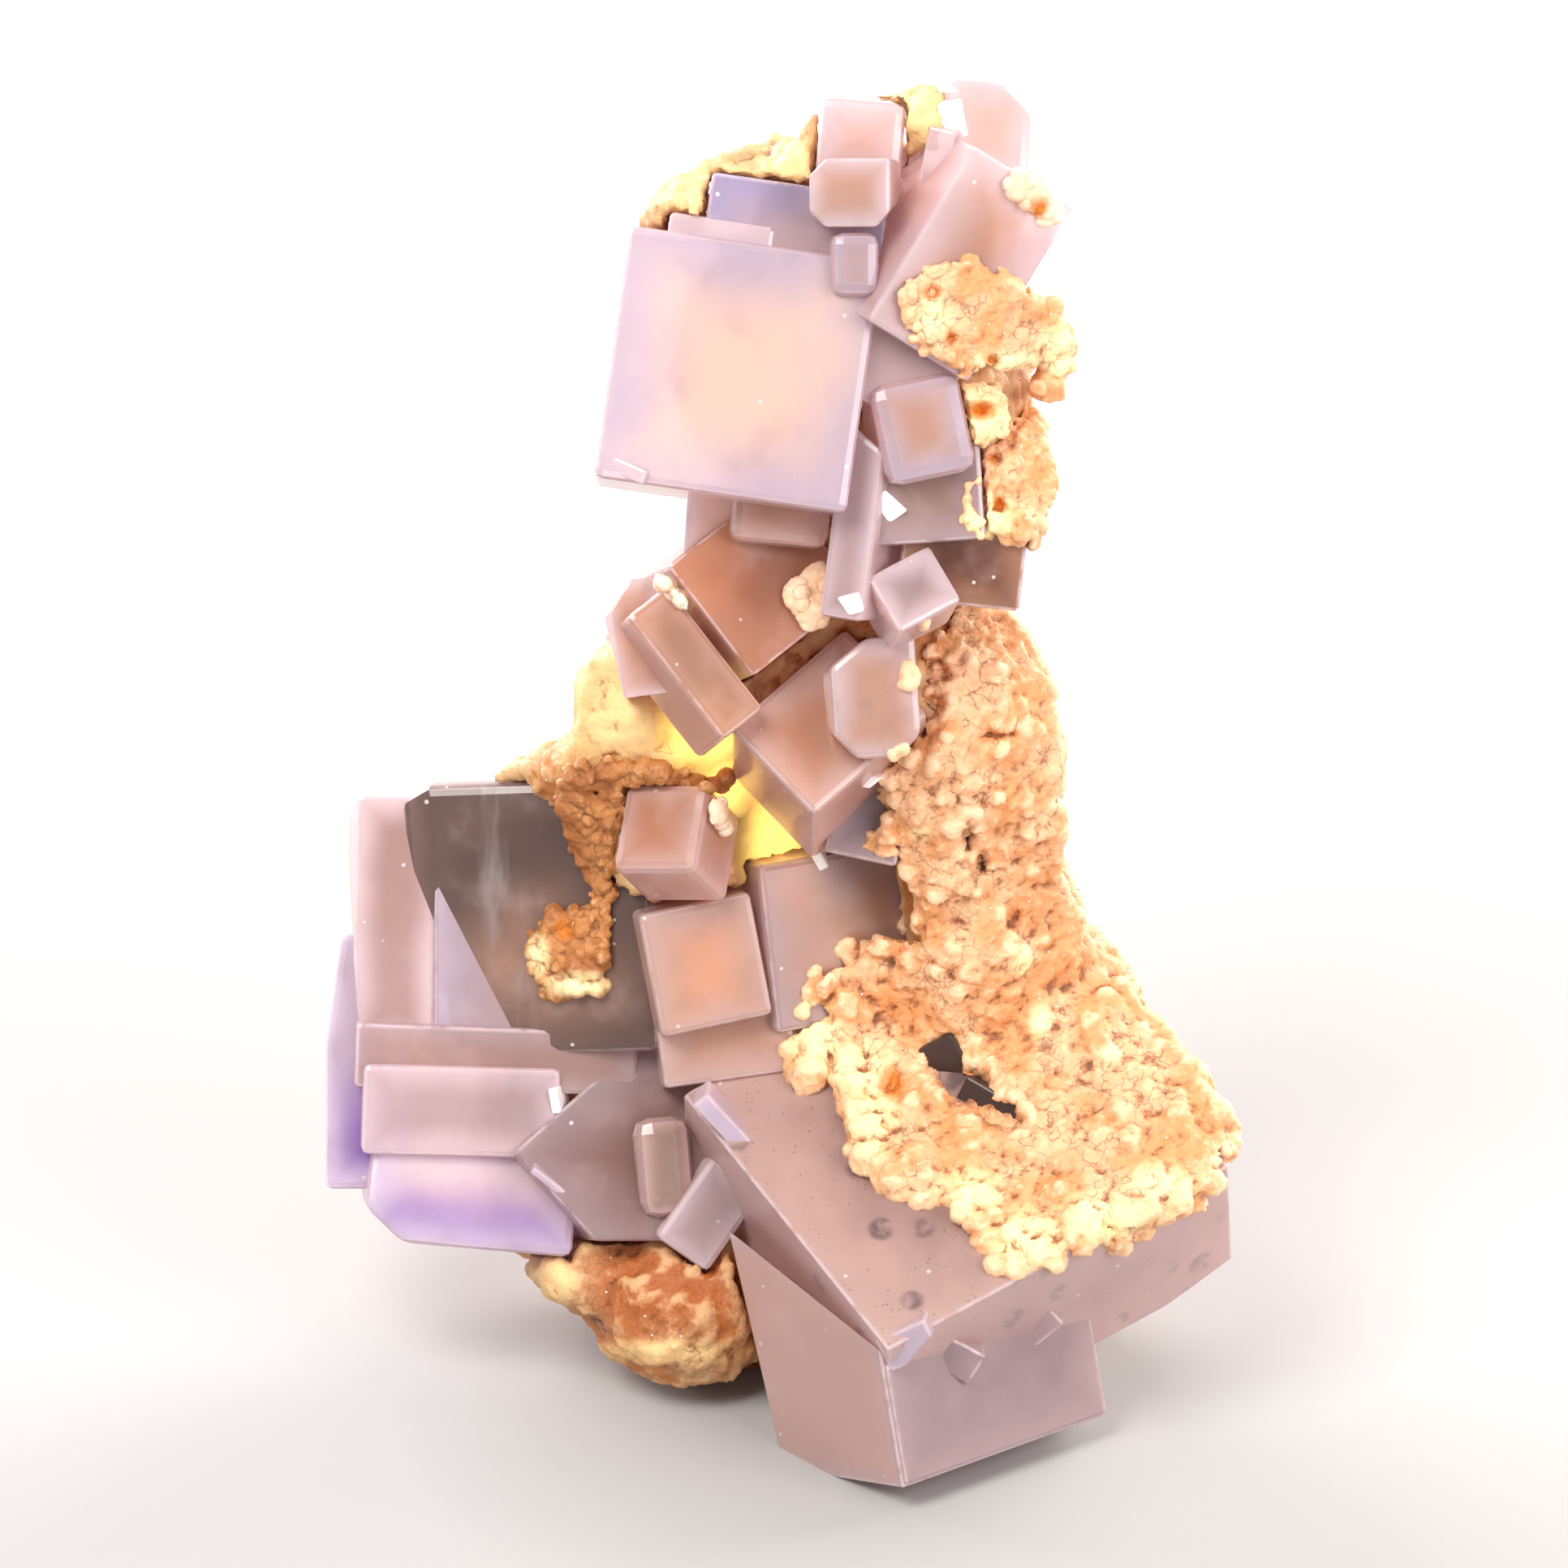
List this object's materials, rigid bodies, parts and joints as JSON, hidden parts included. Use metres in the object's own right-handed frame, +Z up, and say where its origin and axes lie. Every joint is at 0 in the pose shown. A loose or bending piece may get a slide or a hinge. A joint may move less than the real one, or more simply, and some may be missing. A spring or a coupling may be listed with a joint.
{
  "type": "fluorite specimen",
  "caption": "Upright mineral specimen: lavender fluorite cubes grown together over ochre rock, with a tan druse down one side and a flat broken base to stand on.",
  "frame": {"origin": "middle of the bounding box in plan, on the surface that the specimen stands on", "axes": "+Z up, +X to the right of someone who looks at the face with the crystals, -Y towards them"},
  "size_m": [0.0566, 0.039, 0.0844],
  "materials": {
    "fluorite": "translucent lavender crystal with a smooth to slightly etched surface",
    "rock": "rough ochre rock",
    "druse": "granular tan druse",
    "knobs": "smooth cream knobs"
  },
  "bodies": {
    "root": {"fluorite_cluster": "fluorite", "small_fluorite_cube": "fluorite", "matrix": "rock", "top_matrix": "rock", "right_druse": "druse", "flank_druse": "druse", "upper_druse": "druse", "upper_back_druse": "druse", "ring_druse": "druse", "column_druse": "druse", "left_druse": "druse", "left_knob": "knobs", "middle_knob": "knobs", "top_knob": "knobs", "small_cube_knob": "knobs"}
  },
  "joints": []
}
